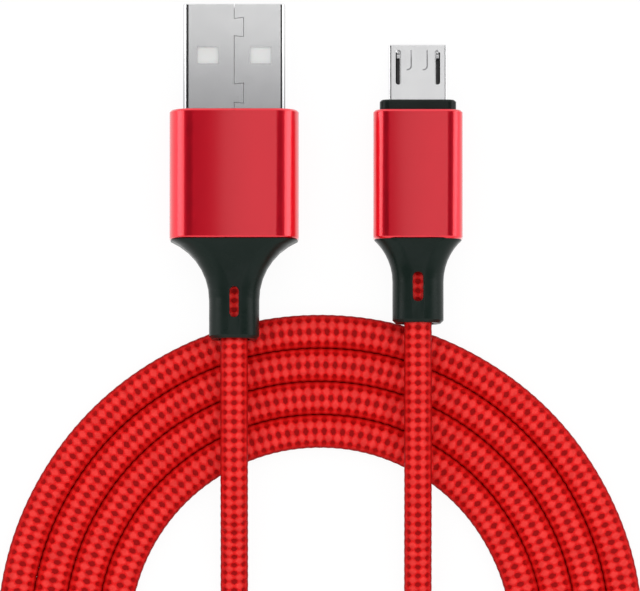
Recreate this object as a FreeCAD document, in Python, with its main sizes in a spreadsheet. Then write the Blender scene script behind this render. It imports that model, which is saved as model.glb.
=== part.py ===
import FreeCAD, Part
import math
import os
import Sketcher

# A braided charging cable, about a metre long, lying coiled on a table.
# One end has a wide flat charger plug, the other a small phone plug. Each plug is a
# steel shell, a plastic insulator with its contacts, an inner mould, an aluminium
# sleeve and a rubber strain relief. Millimetres, +Z up, table top at z = 0.
# The origin lies on the table, midway across the two plugs and midway along the
# longer one. Every plug is modelled level, mouth towards +Y, and then leans on the
# lower front edge of its sleeve, because its tail end is lifted by the coil.

os.makedirs("parts", exist_ok=True)
doc = FreeCAD.newDocument("ChargingCable")
sheet = doc.addObject("Spreadsheet::Sheet", "sizes")

SIZES = [
    ("rowWidth", 34.42, "across both sleeves, outside to outside"),
    ("edgeBreak", 0.25, "chamfer on the sleeves' rims"),
    ("fit", 0.02, "clearance round a piece pressed into another"),
    ("shellNose", 0.12, "lead-in chamfer on a steel shell's front rim"),
    ("seamGap", 0.08, "gap along a rolled shell's seam"),
    ("cordDiameter", 3.4, "over the braid"),
    ("cordSides", 8.0, "flats round a cord's solid"),
    ("wireSides", 6.0, "flats round a wire's solid"),
    ("cordClearance", 0.15, "round the cord inside its bores"),
    ("spigotLength", 1.5, "strain relief inside its sleeve"),
    ("bootStep", 0.12, "strain relief set in from the sleeve's edge"),
    ("bootEndBreak", 0.35, "chamfer on the strain relief's end"),
    ("powerWire", 0.56, "power and ground wires over their insulation"),
    ("dataWire", 0.46, "data wires over their insulation"),
    ("wireLap", 1.1, "wire soldered along a contact's tail"),
    ("wireSpread", 0.55, "each wire from the cord's axis where it enters"),
    # charger plug, lengths from its tip backwards
    ("chargerLength", 39.4, "tip to the strain relief's end"),
    ("chargerTilt", 5.6, "degrees of lean"),
    ("chargerOffset", 0.0, "middle of the plug along Y"),
    ("chargerShellWidth", 12.0, "real plug"),
    ("chargerShellHeight", 4.5, "real plug"),
    ("chargerShellCorner", 0.65, "outside"),
    ("chargerShellWall", 0.3, ""),
    ("chargerShellExposed", 12.5, "in front of the sleeve"),
    ("chargerShellBuried", 6.5, "inside the sleeve"),
    ("chargerWindowWidth", 2.5, "latch windows in both faces"),
    ("chargerWindowLength", 2.0, ""),
    ("chargerWindowOffset", 3.1, "from the axis to a window's middle"),
    ("chargerWindowSetback", 6.1, "from the tip to a window's middle"),
    ("seamJog", 1.1, "sideways step of the seam's dovetails"),
    ("seamFlare", 0.12, "undercut of each dovetail"),
    ("seamFirstStart", 1.76, "from the tip"),
    ("seamFirstEnd", 3.8, ""),
    ("seamSecondStart", 9.5, ""),
    ("seamSecondEnd", 11.65, ""),
    ("chargerTongueThickness", 1.9, ""),
    ("chargerTongueSetback", 0.5, "behind the shell's rim"),
    ("chargerMouthDepth", 8.9, "rim to the insulator's block"),
    ("chargerContactWidth", 1.0, ""),
    ("chargerContactThickness", 0.25, ""),
    ("chargerContactProud", 0.05, "below the tongue's face"),
    ("chargerOuterContact", 3.5, "power and ground from the axis"),
    ("chargerInnerContact", 1.0, "data contacts from the axis"),
    ("chargerOuterSetback", 1.3, "power and ground mate first"),
    ("chargerInnerSetback", 2.3, "data contacts mate last"),
    ("chargerTail", 2.0, "solder tail behind the insulator"),
    ("chargerSideMargin", 0.7, "from the shell to the sleeve's inside, left and right"),
    ("chargerTopMargin", 0.65, "from the shell to the sleeve's inside, over and under"),
    ("chargerHousingLength", 15.3, ""),
    ("chargerHousingCorner", 2.8, ""),
    ("chargerHousingWall", 0.9, ""),
    ("chargerMouldRecess", 0.2, "inner mould behind the sleeve's front rim"),
    ("chargerChamberWidth", 10.4, "space for the soldered wires"),
    ("chargerChamberHeight", 3.2, ""),
    ("chargerCordEntry", 3.1, "cord inside the sleeve's tail end"),
    ("chargerFlare", 7.0, "length of the strain relief's hollow curve"),
    ("chargerNeckWidth", 5.9, ""),
    ("chargerNeckHeight", 5.4, ""),
    ("chargerNeckCorner", 2.55, ""),
    ("chargerSlotLength", 3.65, "window through the neck"),
    ("chargerSlotWidth", 1.08, ""),
    ("chargerSlotSetback", 7.4, "sleeve's tail end to the window's middle"),
    # phone plug, lengths from its tip backwards
    ("phoneLength", 32.8, "tip to the strain relief's end"),
    ("phoneTilt", 4.8, "degrees of lean"),
    ("phoneOffset", -1.4, "middle of the plug along Y"),
    ("phoneShellWidth", 6.85, "real plug"),
    ("phoneShellHeight", 1.8, "real plug"),
    ("phoneShellCorner", 0.3, "outside"),
    ("phoneShellWall", 0.25, ""),
    ("phoneShellBevelRun", 0.75, "keying bevels under the shell"),
    ("phoneShellBevelRise", 0.65, ""),
    ("phoneShellExposed", 6.6, "in front of the collar"),
    ("phoneShellBuried", 5.0, "inside the collar and sleeve"),
    ("phoneSlotWindowWidth", 0.62, "slots that the latches rise through"),
    ("phoneSlotWindowLength", 4.1, ""),
    ("phoneSlotWindowSetback", 2.67, "from the tip to a slot's middle"),
    ("latchOffset", 2.3, "from the axis to a latch's middle"),
    ("latchThickness", 0.35, ""),
    ("latchArmHeight", 0.35, ""),
    ("latchArmDrop", 0.18, "arm's top below the shell's inner face"),
    ("latchHookRise", 0.32, "hook above the shell's face"),
    ("latchHookSetback", 1.5, "from the tip to the hook's middle"),
    ("latchHookTop", 0.3, "flat on top of the hook"),
    ("latchPivotSetback", 6.6, "from the tip to where the arm bends"),
    ("latchTail", 0.6, "arm behind the bend"),
    ("latchClearance", 0.08, "round the arm where it is held"),
    ("phoneMouthDepth", 6.2, "rim to the insulator's block"),
    ("phonePlateSetback", 0.7, "contact plate behind the shell's rim"),
    ("phonePlateWidth", 3.8, ""),
    ("phonePlateThickness", 0.5, ""),
    ("phoneContactPitch", 0.65, "real plug"),
    ("phoneContactWidth", 0.35, ""),
    ("phoneContactThickness", 0.15, ""),
    ("phoneContactLift", 0.25, "strip above the shell's inner floor"),
    ("phoneContactHump", 0.18, "rise of the spring hump"),
    ("phoneHumpStart", 4.5, "from the tip to the hump's foot"),
    ("phoneHumpRamp", 1.0, ""),
    ("phoneHumpTop", 1.0, ""),
    ("phoneContactSetback", 1.5, "from the tip to the spring's end"),
    ("phoneChannelFloor", 0.08, "plastic under the contacts"),
    ("phoneTail", 1.8, "solder tail behind the insulator"),
    ("phoneCollar", 1.2, "mould shown in front of the sleeve"),
    ("phoneCollarBreak", 0.22, "chamfer on the collar"),
    ("phoneSideMargin", 1.075, "from the shell to the sleeve's inside, left and right"),
    ("phoneTopMargin", 1.6, "from the shell to the sleeve's inside, over and under"),
    ("phoneHousingLength", 15.2, ""),
    ("phoneHousingCorner", 1.9, ""),
    ("phoneHousingWall", 0.75, ""),
    ("phoneChamberWidth", 5.2, "space for the soldered wires"),
    ("phoneChamberHeight", 2.6, ""),
    ("phoneCordEntry", 2.6, "cord inside the sleeve's tail end"),
    ("phoneFlare", 4.9, "length of the strain relief's hollow curve"),
    ("phoneNeckWidth", 6.0, ""),
    ("phoneNeckHeight", 5.4, ""),
    ("phoneNeckCorner", 2.55, ""),
    ("phoneSlotLength", 3.5, "window through the neck"),
    ("phoneSlotWidth", 1.23, ""),
    ("phoneSlotSetback", 5.65, "sleeve's tail end to the window's middle"),
    # the coil, one flat layer of turns
    ("coilCentreSide", 0.46, "middle of the upper half turns, X"),
    ("coilCentreBack", -54.7, "middle of the upper half turns, Y"),
    ("coilPitch", 3.9, "from turn to turn"),
    ("coilInnerRadius", 24.3, "innermost full turn, to the cord's axis"),
    ("coilHalfTurns", 7.0, "half turns outside the entry loop"),
    ("coilEntryRadius", 16.2, "first quarter turn of the entry loop"),
]


def fill_sheet():
    for row, (alias, number, note) in enumerate(SIZES, start=1):
        sheet.set(f"A{row}", alias)
        sheet.set(f"B{row}", str(number))
        sheet.setAlias(f"B{row}", alias)
        sheet.set(f"C{row}", note)
    doc.recompute()


def size(alias):
    return float(sheet.get(alias))


def cell(alias):
    return f"sizes.{alias}"


fill_sheet()
PARTS = []


# Places along a plug, as expressions in its own frame, where y = 0 is mid-length

def tip(plug):
    return f"(sizes.{plug}Length / 2)"


def collar(plug):
    return "sizes.phoneCollar" if plug == "phone" else "0"


def sleeve_front(plug):
    return f"({tip(plug)} - sizes.{plug}ShellExposed - {collar(plug)})"


def sleeve_rear(plug):
    return f"({sleeve_front(plug)} - sizes.{plug}HousingLength)"


def shell_rear(plug):
    return f"({tip(plug)} - sizes.{plug}ShellExposed - sizes.{plug}ShellBuried)"


def cord_entry(plug):
    return f"({sleeve_rear(plug)} + sizes.{plug}CordEntry)"


def sleeve_width(plug):
    margin, wall = f"sizes.{plug}SideMargin", f"sizes.{plug}HousingWall"
    return f"(sizes.{plug}ShellWidth + 2 * ({margin} + {wall}))"


def sleeve_height(plug):
    margin, wall = f"sizes.{plug}TopMargin", f"sizes.{plug}HousingWall"
    return f"(sizes.{plug}ShellHeight + 2 * ({margin} + {wall}))"


def evaluate(expression):
    """Number of an expression, read back from the sheet."""
    return float(sheet.evalExpression(expression))


def plug_place(plug):
    """Lean a level plug on its sleeve's lower front edge and set it in the row."""
    lean = math.radians(size(f"{plug}Tilt"))
    edge = evaluate(sleeve_front(plug)) - size("edgeBreak")
    half = evaluate(sleeve_height(plug)) / 2
    height = half * math.cos(lean) + edge * math.sin(lean)
    side = size("rowWidth") / 2 - evaluate(sleeve_width(plug)) / 2
    if plug == "charger":
        side = -side
    turn = FreeCAD.Rotation(FreeCAD.Vector(1, 0, 0), -math.degrees(lean))
    return FreeCAD.Placement(FreeCAD.Vector(side, size(f"{plug}Offset"), height), turn)


def in_plug(plug, x, y, z):
    return plug_place(plug).multVec(FreeCAD.Vector(x, y, z))


# Drawing helpers

def new_body(label, plug):
    body = doc.addObject("PartDesign::Body", label)
    body.Label = label
    body.Placement = plug_place(plug)
    PARTS.append(body)
    return body


def sketch_on(body, role, name, offset):
    """Sketch on one of the body's own planes, moved by three expressions."""
    plane = [f for f in body.Origin.OriginFeatures if f.Role == role][0]
    sketch = body.newObject("Sketcher::SketchObject", name)
    sketch.AttachmentSupport = [(plane, "")]
    sketch.MapMode = "FlatFace"
    for axis, expression in zip("xyz", offset):
        if expression != "0":
            sketch.setExpression(f"AttachmentOffset.Base.{axis}", expression)
    return sketch


def cross_sketch(body, name, y, z="0", x="0"):
    """Sketch across the plug at y, drawn in X and Z."""
    return sketch_on(body, "XZ_Plane", name, (x, z, f"-({y})"))


def plan_sketch(body, name, x="0", y="0", z="0"):
    """Sketch seen from above, drawn in X and Y."""
    return sketch_on(body, "XY_Plane", name, (x, y, z))


def side_sketch(body, name, x="0"):
    """Sketch seen from the side, drawn in Y and Z."""
    return sketch_on(body, "YZ_Plane", name, ("0", "0", x))


def bind(sketch, index, name, expression):
    sketch.renameConstraint(index, name)
    sketch.setExpression(f"Constraints.{name}", expression)


def polygon(sketch, corners, name="P"):
    """Closed outline whose corners are pairs of expressions."""
    points = [FreeCAD.Vector(evaluate(a), evaluate(b), 0) for a, b in corners]
    count = len(points)
    first = sketch.GeometryCount
    for i in range(count):
        sketch.addGeometry(Part.LineSegment(points[i], points[(i + 1) % count]), False)
    for i in range(count):
        after = first + (i + 1) % count
        sketch.addConstraint(Sketcher.Constraint("Coincident", first + i, 2, after, 1))
    for i, (a, b) in enumerate(corners):
        across = Sketcher.Constraint("DistanceX", -1, 1, first + i, 1, points[i].x)
        along = Sketcher.Constraint("DistanceY", -1, 1, first + i, 1, points[i].y)
        bind(sketch, sketch.addConstraint(across), f"{name}x{i}", a)
        bind(sketch, sketch.addConstraint(along), f"{name}y{i}", b)


def rectangle(sketch, width, height, name="R"):
    w, h = f"({width}) / 2", f"({height}) / 2"
    polygon(sketch, [(f"-{w}", f"-{h}"), (w, f"-{h}"), (w, h), (f"-{w}", h)], name)


def rounded_rectangle(sketch, width, height, corner, name="R"):
    """Rectangle about the sketch's origin with four equal round corners."""
    w, h, r = evaluate(width) / 2, evaluate(height) / 2, evaluate(corner)
    first = sketch.GeometryCount
    starts = [(-w + r, -h), (w, -h + r), (w - r, h), (-w, h - r)]
    ends = [(w - r, -h), (w, h - r), (-w + r, h), (-w, -h + r)]
    centres = [(w - r, -h + r), (w - r, h - r), (-w + r, h - r), (-w + r, -h + r)]
    for i in range(4):
        a, b = FreeCAD.Vector(*starts[i], 0), FreeCAD.Vector(*ends[i], 0)
        sketch.addGeometry(Part.LineSegment(a, b), False)
    for i in range(4):
        circle = Part.Circle(FreeCAD.Vector(*centres[i], 0), FreeCAD.Vector(0, 0, 1), r)
        begin = (i - 1) * math.pi / 2
        arc = Part.ArcOfCircle(circle, begin, begin + math.pi / 2)
        sketch.addGeometry(arc, False)
    for i in range(4):
        line, arc, after = first + i, first + 4 + i, first + (i + 1) % 4
        sketch.addConstraint(Sketcher.Constraint("Tangent", line, 2, arc, 1))
        sketch.addConstraint(Sketcher.Constraint("Tangent", arc, 2, after, 1))
        way = "Horizontal" if i % 2 == 0 else "Vertical"
        sketch.addConstraint(Sketcher.Constraint(way, line))
    for i in range(3):
        sketch.addConstraint(Sketcher.Constraint("Equal", first + 4 + i, first + 5 + i))
    sketch.addConstraint(Sketcher.Constraint("Symmetric", first, 1, first + 2, 1, -1, 1))
    across = Sketcher.Constraint("DistanceX", first + 3, 1, first + 1, 1, 2 * w)
    bind(sketch, sketch.addConstraint(across), f"{name}Width", width)
    upward = Sketcher.Constraint("DistanceY", first, 1, first + 2, 1, 2 * h)
    bind(sketch, sketch.addConstraint(upward), f"{name}Height", height)
    radius = Sketcher.Constraint("Radius", first + 4, r)
    bind(sketch, sketch.addConstraint(radius), f"{name}Corner", corner)


def pad(body, sketch, name, length, forward=False, midplane=False):
    """Pad from a cross sketch towards the tail, or forward towards the mouth."""
    feature = body.newObject("PartDesign::Pad", name)
    feature.Profile = sketch
    feature.Reversed = forward
    feature.Midplane = midplane
    feature.setExpression("Length", length)
    doc.recompute()
    return feature


def pocket(body, sketch, name, length, towards_tail=False, midplane=False):
    """Cut that has to remove something; from a cross sketch it runs forward."""
    before = body.Shape.Volume
    feature = body.newObject("PartDesign::Pocket", name)
    feature.Profile = sketch
    feature.Reversed = towards_tail
    feature.Midplane = midplane
    feature.setExpression("Length", length)
    doc.recompute()
    if not body.Shape.Volume < before:
        raise RuntimeError(f"{body.Label}: {name} cuts nothing")
    return feature


def edge_names(shape, wanted):
    names = []
    for index, edge in enumerate(shape.Edges, start=1):
        if wanted(edge):
            names.append(f"Edge{index}")
    return names


def rim(shape, y):
    """Outer edges of the end faces that lie across the plug at y."""
    rims = []
    for face in shape.Faces:
        flat = isinstance(face.Surface, Part.Plane)
        if flat and abs(face.BoundBox.YMin - y) < 0.001 and abs(face.BoundBox.YMax - y) < 0.001:
            rims.extend(face.OuterWire.Edges)
    return edge_names(shape, lambda e: any(e.isSame(other) for other in rims))


def dress(body, kind, name, edges, amount):
    """Fillet or chamfer on edges of the body's last feature."""
    base = body.Tip
    feature = body.newObject(f"PartDesign::{kind}", name)
    feature.Base = (base, edges)
    feature.setExpression("Radius" if kind == "Fillet" else "Size", amount)
    body.Tip = feature
    doc.recompute()
    return feature


def level_shape(body):
    """The body's shape in the plug's own frame."""
    return body.Tip.Shape.copy()


# Pieces that both plugs have

def make_housing(plug):
    """Aluminium sleeve: an open tube with broken rims."""
    width, height = sleeve_width(plug), sleeve_height(plug)
    wall, corner = cell(f"{plug}HousingWall"), cell(f"{plug}HousingCorner")
    body = new_body(f"{plug}_plug_housing", plug)
    sketch = cross_sketch(body, f"{plug}SleeveSection", sleeve_front(plug))
    rounded_rectangle(sketch, width, height, corner, "Outer")
    inside = (f"{width} - 2 * {wall}", f"{height} - 2 * {wall}", f"{corner} - {wall}")
    rounded_rectangle(sketch, *inside, "Inner")
    pad(body, sketch, f"{plug}Sleeve", cell(f"{plug}HousingLength"))
    shape = level_shape(body)
    edges = rim(shape, evaluate(sleeve_front(plug))) + rim(shape, evaluate(sleeve_rear(plug)))
    dress(body, "Chamfer", f"{plug}SleeveEdges", edges, cell("edgeBreak"))


def mould_section(plug):
    """Width, height and corner of what fills the sleeve."""
    gap = f"2 * ({cell(plug + 'HousingWall')} + sizes.fit)"
    return (
        f"{sleeve_width(plug)} - {gap}",
        f"{sleeve_height(plug)} - {gap}",
        f"{cell(plug + 'HousingCorner')} - {cell(plug + 'HousingWall')} - sizes.fit",
    )


def mould_front(plug):
    if plug == "phone":
        return f"({sleeve_front(plug)} + sizes.phoneCollar)"
    return f"({sleeve_front(plug)} - sizes.chargerMouldRecess)"


def make_inner_mould(plug, draw_shell_hole):
    """Plastic block that holds the shell, the soldered tails and the cord's end."""
    body = new_body(f"{plug}_plug_inner_mould", plug)
    front, rear = mould_front(plug), f"({sleeve_rear(plug)} + sizes.spigotLength)"
    sketch = cross_sketch(body, f"{plug}MouldSection", front)
    rounded_rectangle(sketch, *mould_section(plug))
    pad(body, sketch, f"{plug}MouldBlock", f"{front} - {rear}")
    if plug == "phone":
        edges = rim(level_shape(body), evaluate(front))
        dress(body, "Chamfer", "phoneCollarEdge", edges, cell("phoneCollarBreak"))
    sketch = cross_sketch(body, f"{plug}ShellHole", front)
    draw_shell_hole(sketch)
    pocket(body, sketch, f"{plug}ShellSeat", f"{front} - {shell_rear(plug)}", True)
    sketch = cross_sketch(body, f"{plug}ChamberSection", shell_rear(plug))
    rectangle(sketch, cell(f"{plug}ChamberWidth"), cell(f"{plug}ChamberHeight"))
    depth = f"{shell_rear(plug)} - {cord_entry(plug)}"
    pocket(body, sketch, f"{plug}WireChamber", depth, True)
    sketch = cross_sketch(body, f"{plug}CordHole", rear)
    bore_circle(sketch)
    pocket(body, sketch, f"{plug}CordSeat", f"{cord_entry(plug)} - {rear}", False)


def bore_circle(sketch):
    """Circle round the cord with its clearance."""
    radius = "sizes.cordDiameter / 2 + sizes.cordClearance"
    centre, up = FreeCAD.Vector(0, 0, 0), FreeCAD.Vector(0, 0, 1)
    sketch.addGeometry(Part.Circle(centre, up, evaluate(radius)), False)
    sketch.addConstraint(Sketcher.Constraint("Coincident", 0, 3, -1, 1))
    index = sketch.addConstraint(Sketcher.Constraint("Radius", 0, evaluate(radius)))
    bind(sketch, index, "BoreRadius", radius)


def flare_size(plug, full, neck, share):
    """Size across the boot where it has come a share of the way down its curve.

    The hollow curve is an arc that meets the neck smoothly and ends at full size.
    """
    run = cell(f"{plug}Flare")
    drop = f"(({full} - {neck}) / 2)"
    arc = f"(({run} ^ 2 + {drop} ^ 2) / (2 * {drop}))"
    left = f"({run} * (1 - {share}))"
    return f"({neck} + 2 * ({arc} - sqrt({arc} ^ 2 - {left} ^ 2)))"


FLARE_BANDS = 7
FLARE_TURN = math.radians(66)


def flare_shares():
    """Shares of the flare's length that split its curve into bands of equal turn."""
    whole = math.sin(FLARE_TURN)
    turns = [FLARE_TURN * (1 - band / FLARE_BANDS) for band in range(FLARE_BANDS + 1)]
    return [round(1 - math.sin(turn) / whole, 3) for turn in turns]


def make_boot(plug):
    """Rubber strain relief: spigot, flared body, neck with a window on both faces."""
    body = new_body(f"{plug}_plug_strain_relief", plug)
    rear, step = sleeve_rear(plug), "2 * sizes.bootStep"
    full_width = f"({sleeve_width(plug)} - {step})"
    full_height = f"({sleeve_height(plug)} - {step})"
    neck_width, neck_height = cell(f"{plug}NeckWidth"), cell(f"{plug}NeckHeight")
    neck_corner, run = cell(f"{plug}NeckCorner"), cell(f"{plug}Flare")
    sections = []
    for index, share in enumerate(flare_shares()):
        y = f"({rear} - {run} * {share})"
        sketch = cross_sketch(body, f"{plug}Flare{index}", y)
        width = flare_size(plug, full_width, neck_width, share)
        height = flare_size(plug, full_height, neck_height, share)
        rounded_rectangle(sketch, width, height, neck_corner)
        sections.append(sketch)
    doc.recompute()
    loft = body.newObject("PartDesign::AdditiveLoft", f"{plug}FlaredBody")
    loft.Profile = sections[0]
    loft.Sections = sections[1:]
    loft.Ruled = True
    doc.recompute()
    sketch = cross_sketch(body, f"{plug}NeckSection", f"({rear} - {run})")
    rounded_rectangle(sketch, neck_width, neck_height, neck_corner)
    end = f"({cell(plug + 'Length')} / 2)"
    pad(body, sketch, f"{plug}Neck", f"{rear} - {run} + {end}")
    sketch = cross_sketch(body, f"{plug}SpigotSection", rear)
    rounded_rectangle(sketch, *mould_section(plug))
    pad(body, sketch, f"{plug}Spigot", "sizes.spigotLength", True)
    edges = rim(level_shape(body), -evaluate(end))
    dress(body, "Chamfer", f"{plug}BootEnd", edges, cell("bootEndBreak"))
    sketch = cross_sketch(body, f"{plug}BootBore", f"-{end}")
    bore_circle(sketch)
    pocket(body, sketch, f"{plug}CordBore", f"{cell(plug + 'Length')}")
    setback = cell(f"{plug}SlotSetback")
    sketch = plan_sketch(body, f"{plug}WindowOutline", y=f"({rear} - {setback})")
    slot_width = cell(f"{plug}SlotWidth")
    rounded_rectangle(sketch, slot_width, cell(f"{plug}SlotLength"), f"{slot_width} * 0.48")
    pocket(body, sketch, f"{plug}Window", full_height, midplane=True)


# Charger plug

def make_charger_shell():
    """Steel sleeve with two latch windows in each face and a dovetailed seam on top."""
    body = new_body("charger_plug_shell", "charger")
    width, height = cell("chargerShellWidth"), cell("chargerShellHeight")
    wall, corner = cell("chargerShellWall"), cell("chargerShellCorner")
    sketch = cross_sketch(body, "ShellSection", tip("charger"))
    rounded_rectangle(sketch, width, height, corner, "Outer")
    inside = (f"{width} - 2 * {wall}", f"{height} - 2 * {wall}", f"{corner} - {wall}")
    rounded_rectangle(sketch, *inside, "Inner")
    pad(body, sketch, "ShellSleeve", "sizes.chargerShellExposed + sizes.chargerShellBuried")
    edges = rim(level_shape(body), evaluate(tip("charger")))
    dress(body, "Chamfer", "ShellNoseRim", edges, cell("shellNose"))
    for name, sign in (("Left", "-"), ("Right", "")):
        x = f"{sign}sizes.chargerWindowOffset"
        y = f"({tip('charger')} - sizes.chargerWindowSetback)"
        sketch = plan_sketch(body, f"{name}WindowOutline", x, y)
        rectangle(sketch, cell("chargerWindowWidth"), cell("chargerWindowLength"))
        pocket(body, sketch, f"{name}Windows", f"{height} + {wall}", midplane=True)
    above = f"({height} / 2 + {wall})"
    sketch = plan_sketch(body, "SeamOutline", z=above)
    polygon(sketch, seam_outline())
    pocket(body, sketch, "Seam", f"2.5 * {wall}")


def seam_outline():
    """Narrow strip that steps sideways twice, each step a dovetail."""
    gap, jog, flare = "sizes.seamGap / 2", "sizes.seamJog", "sizes.seamFlare"
    top = tip("charger")
    west = [(f"-{gap}", f"{top} + 1")]
    east = [(gap, f"{top} + 1")]
    for start, end in (("seamFirstStart", "seamFirstEnd"), ("seamSecondStart", "seamSecondEnd")):
        high, low = f"({top} - sizes.{start})", f"({top} - sizes.{end})"
        west.append((f"-{gap}", f"{high} - {gap}"))
        west.append((f"{jog} - {gap}", f"{high} + {flare} - {gap}"))
        west.append((f"{jog} - {gap}", f"{low} - {flare} + {gap}"))
        west.append((f"-{gap}", f"{low} + {gap}"))
        east.append((gap, f"{high} + {gap}"))
        east.append((f"{jog} + {gap}", f"{high} + {flare} + {gap}"))
        east.append((f"{jog} + {gap}", f"{low} - {flare} - {gap}"))
        east.append((gap, f"{low} - {gap}"))
    west.append((f"-{gap}", f"{shell_rear('charger')} - 1"))
    east.append((gap, f"{shell_rear('charger')} - 1"))
    return west + east[::-1]


def charger_shell_hole(sketch):
    outline = (cell("chargerShellWidth"), cell("chargerShellHeight"))
    rounded_rectangle(sketch, *outline, cell("chargerShellCorner"))


TONGUE_TOP = "(sizes.chargerShellHeight / 2 - sizes.chargerShellWall - sizes.fit)"
TONGUE_FACE = f"({TONGUE_TOP} - sizes.chargerTongueThickness)"
CHARGER_CONTACTS = (
    ("power", "-sizes.chargerOuterContact", "sizes.chargerOuterSetback"),
    ("data_minus", "-sizes.chargerInnerContact", "sizes.chargerInnerSetback"),
    ("data_plus", "sizes.chargerInnerContact", "sizes.chargerInnerSetback"),
    ("ground", "sizes.chargerOuterContact", "sizes.chargerOuterSetback"),
)
CHARGER_STRIP = f"({TONGUE_FACE} - sizes.chargerContactProud + sizes.chargerContactThickness / 2)"


def make_charger_insulator():
    """Rear block that fills the shell, with a grooved tongue under the shell's top."""
    body = new_body("charger_plug_insulator", "charger")
    top = tip("charger")
    inside = "2 * (sizes.chargerShellWall + sizes.fit)"
    width, height = f"(sizes.chargerShellWidth - {inside})", f"(sizes.chargerShellHeight - {inside})"
    corner = "sizes.chargerShellCorner - sizes.chargerShellWall"
    block_front = f"({top} - sizes.chargerMouthDepth)"
    sketch = cross_sketch(body, "BlockSection", block_front)
    rounded_rectangle(sketch, width, height, corner)
    pad(body, sketch, "Block", f"{block_front} - {shell_rear('charger')}")
    middle = f"({TONGUE_TOP} - sizes.chargerTongueThickness / 2)"
    tongue_front = f"({top} - sizes.chargerTongueSetback)"
    sketch = cross_sketch(body, "TongueSection", tongue_front, z=middle)
    rounded_rectangle(sketch, width, "sizes.chargerTongueThickness", corner)
    pad(body, sketch, "Tongue", f"{tongue_front} - {block_front}")
    for name, x, setback in CHARGER_CONTACTS:
        start = f"({top} - {setback})"
        sketch = cross_sketch(body, f"{name}Groove", start, CHARGER_STRIP, x)
        thick = "sizes.chargerContactThickness + 2 * sizes.fit"
        rectangle(sketch, "sizes.chargerContactWidth + 2 * sizes.fit", thick)
        pocket(body, sketch, f"{name}Channel", f"{start} - {shell_rear('charger')}", True)


def make_charger_contacts():
    """Flat strips along the tongue, out through the block as solder tails."""
    for name, x, setback in CHARGER_CONTACTS:
        body = new_body(f"charger_plug_contact_{name}", "charger")
        start = f"({tip('charger')} - {setback})"
        sketch = cross_sketch(body, f"{name}Section", start, CHARGER_STRIP, x)
        rectangle(sketch, "sizes.chargerContactWidth", "sizes.chargerContactThickness")
        length = f"{start} - {shell_rear('charger')} + sizes.chargerTail"
        pad(body, sketch, f"{name}Strip", length)


# Phone plug

def phone_profile(inset):
    """Shell section with bevelled lower corners, drawn a given distance inside."""
    w = f"(sizes.phoneShellWidth / 2 - {inset})"
    h = f"(sizes.phoneShellHeight / 2 - {inset})"
    run, rise = "sizes.phoneShellBevelRun", "sizes.phoneShellBevelRise"
    return [
        (f"-({w} - {run})", f"-{h}"), (f"{w} - {run}", f"-{h}"),
        (w, f"-{h} + {rise}"), (w, h), (f"-{w}", h), (f"-{w}", f"-{h} + {rise}"),
    ]


def upper_corners(shape, width, height):
    """Long edges at the two square corners of a bevelled section."""
    def wanted(edge):
        box = edge.BoundBox
        along = box.YLength > 1 and box.XLength < 0.01 and box.ZLength < 0.01
        return along and abs(abs(box.Center.x) - width) < 0.01 and abs(box.Center.z - height) < 0.01
    return edge_names(shape, wanted)


def make_phone_shell():
    """Small steel sleeve, keyed below, with two slots for the latches on top."""
    body = new_body("phone_plug_shell", "phone")
    wall = "sizes.phoneShellWall"
    sketch = cross_sketch(body, "PhoneShellSection", tip("phone"))
    polygon(sketch, phone_profile("0"))
    pad(body, sketch, "PhoneShellBlock", "sizes.phoneShellExposed + sizes.phoneShellBuried")
    half = (size("phoneShellWidth") / 2, size("phoneShellHeight") / 2)
    corners = upper_corners(level_shape(body), *half)
    dress(body, "Fillet", "PhoneShellCorners", corners, cell("phoneShellCorner"))
    edges = rim(level_shape(body), evaluate(tip("phone")))
    dress(body, "Chamfer", "PhoneShellNose", edges, cell("shellNose"))
    sketch = cross_sketch(body, "PhoneShellInside", tip("phone"))
    polygon(sketch, phone_profile(wall))
    through = "sizes.phoneShellExposed + sizes.phoneShellBuried"
    pocket(body, sketch, "PhoneShellBore", through, True)
    above = f"(sizes.phoneShellHeight / 2 + {wall})"
    for name, sign in (("Left", "-"), ("Right", "")):
        y = f"({tip('phone')} - sizes.phoneSlotWindowSetback)"
        sketch = plan_sketch(body, f"{name}SlotOutline", f"{sign}sizes.latchOffset", y, above)
        slot_width = "sizes.phoneSlotWindowWidth"
        rounded_rectangle(sketch, slot_width, "sizes.phoneSlotWindowLength", f"{slot_width} * 0.48")
        pocket(body, sketch, f"{name}Slot", f"2.5 * {wall}")


def phone_shell_hole(sketch):
    polygon(sketch, phone_profile("0"))


PHONE_FLOOR = "(sizes.phoneShellWall - sizes.phoneShellHeight / 2)"
PHONE_CEILING = "(sizes.phoneShellHeight / 2 - sizes.phoneShellWall)"
PHONE_CONTACTS = ("power", "data_minus", "data_plus", "identity", "ground")
LATCH_TOP = f"({PHONE_CEILING} - sizes.latchArmDrop)"


def phone_contact_place(index):
    return f"(sizes.phoneContactPitch * {index - 2})"


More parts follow.
